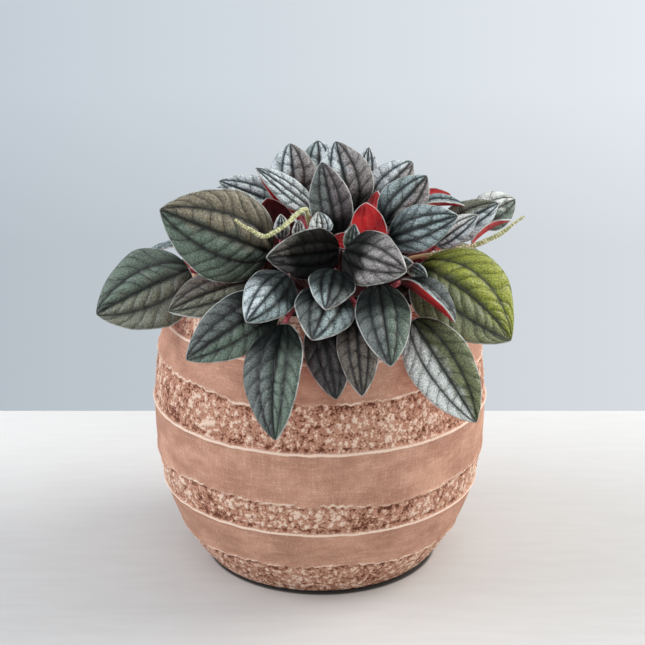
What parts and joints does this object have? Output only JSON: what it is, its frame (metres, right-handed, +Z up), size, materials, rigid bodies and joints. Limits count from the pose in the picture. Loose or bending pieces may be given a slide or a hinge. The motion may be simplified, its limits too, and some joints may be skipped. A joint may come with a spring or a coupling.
{
  "type": "potted peperomia",
  "caption": "Ripple-leaved house plant with deeply grooved red-backed leaves and thin flower spikes, in a banded terracotta globe pot.",
  "frame": {"origin": "centre of the pot's flat foot, on the surface it stands on", "axes": "+Z up along the pot's axis, -Y towards the front, +X to the right seen from the front"},
  "size_m": [0.2002, 0.2028, 0.2024],
  "materials": {
    "pot": "matte",
    "soil": "matte",
    "petiole": "satin",
    "leaf": "satin",
    "flower_spike": "matte"
  },
  "bodies": {
    "root": {"flower_spike_left": "flower_spike", "flower_spike_right": "flower_spike", "leaf_01": "leaf", "leaf_02": "leaf", "leaf_03": "leaf", "leaf_04": "leaf", "leaf_05": "leaf", "leaf_06": "leaf", "leaf_07": "leaf", "leaf_08": "leaf", "leaf_09": "leaf", "leaf_10": "leaf", "leaf_11": "leaf", "leaf_12": "leaf", "leaf_13": "leaf", "leaf_14": "leaf", "leaf_15": "leaf", "leaf_16": "leaf", "leaf_17": "leaf", "leaf_18": "leaf", "leaf_19": "leaf", "leaf_20": "leaf", "leaf_21": "leaf", "leaf_22": "leaf", "leaf_23": "leaf", "leaf_24": "leaf", "leaf_25": "leaf", "leaf_26": "leaf", "leaf_27": "leaf", "leaf_28": "leaf", "leaf_29": "leaf", "leaf_30": "leaf", "leaf_31": "leaf", "leaf_32": "leaf", "leaf_33": "leaf", "leaf_34": "leaf", "leaf_35": "leaf", "leaf_36": "leaf", "leaf_37": "leaf", "leaf_38": "leaf", "leaf_39": "leaf", "leaf_40": "leaf", "leaf_41": "leaf", "leaf_42": "leaf", "leaf_43": "leaf", "leaf_44": "leaf", "leaf_45": "leaf", "leaf_46": "leaf", "pot": "pot", "soil": "soil", "spray_01": "leaf", "spray_02": "leaf", "spray_03": "leaf", "spray_04": "leaf", "stems": "petiole"}
  },
  "joints": []
}
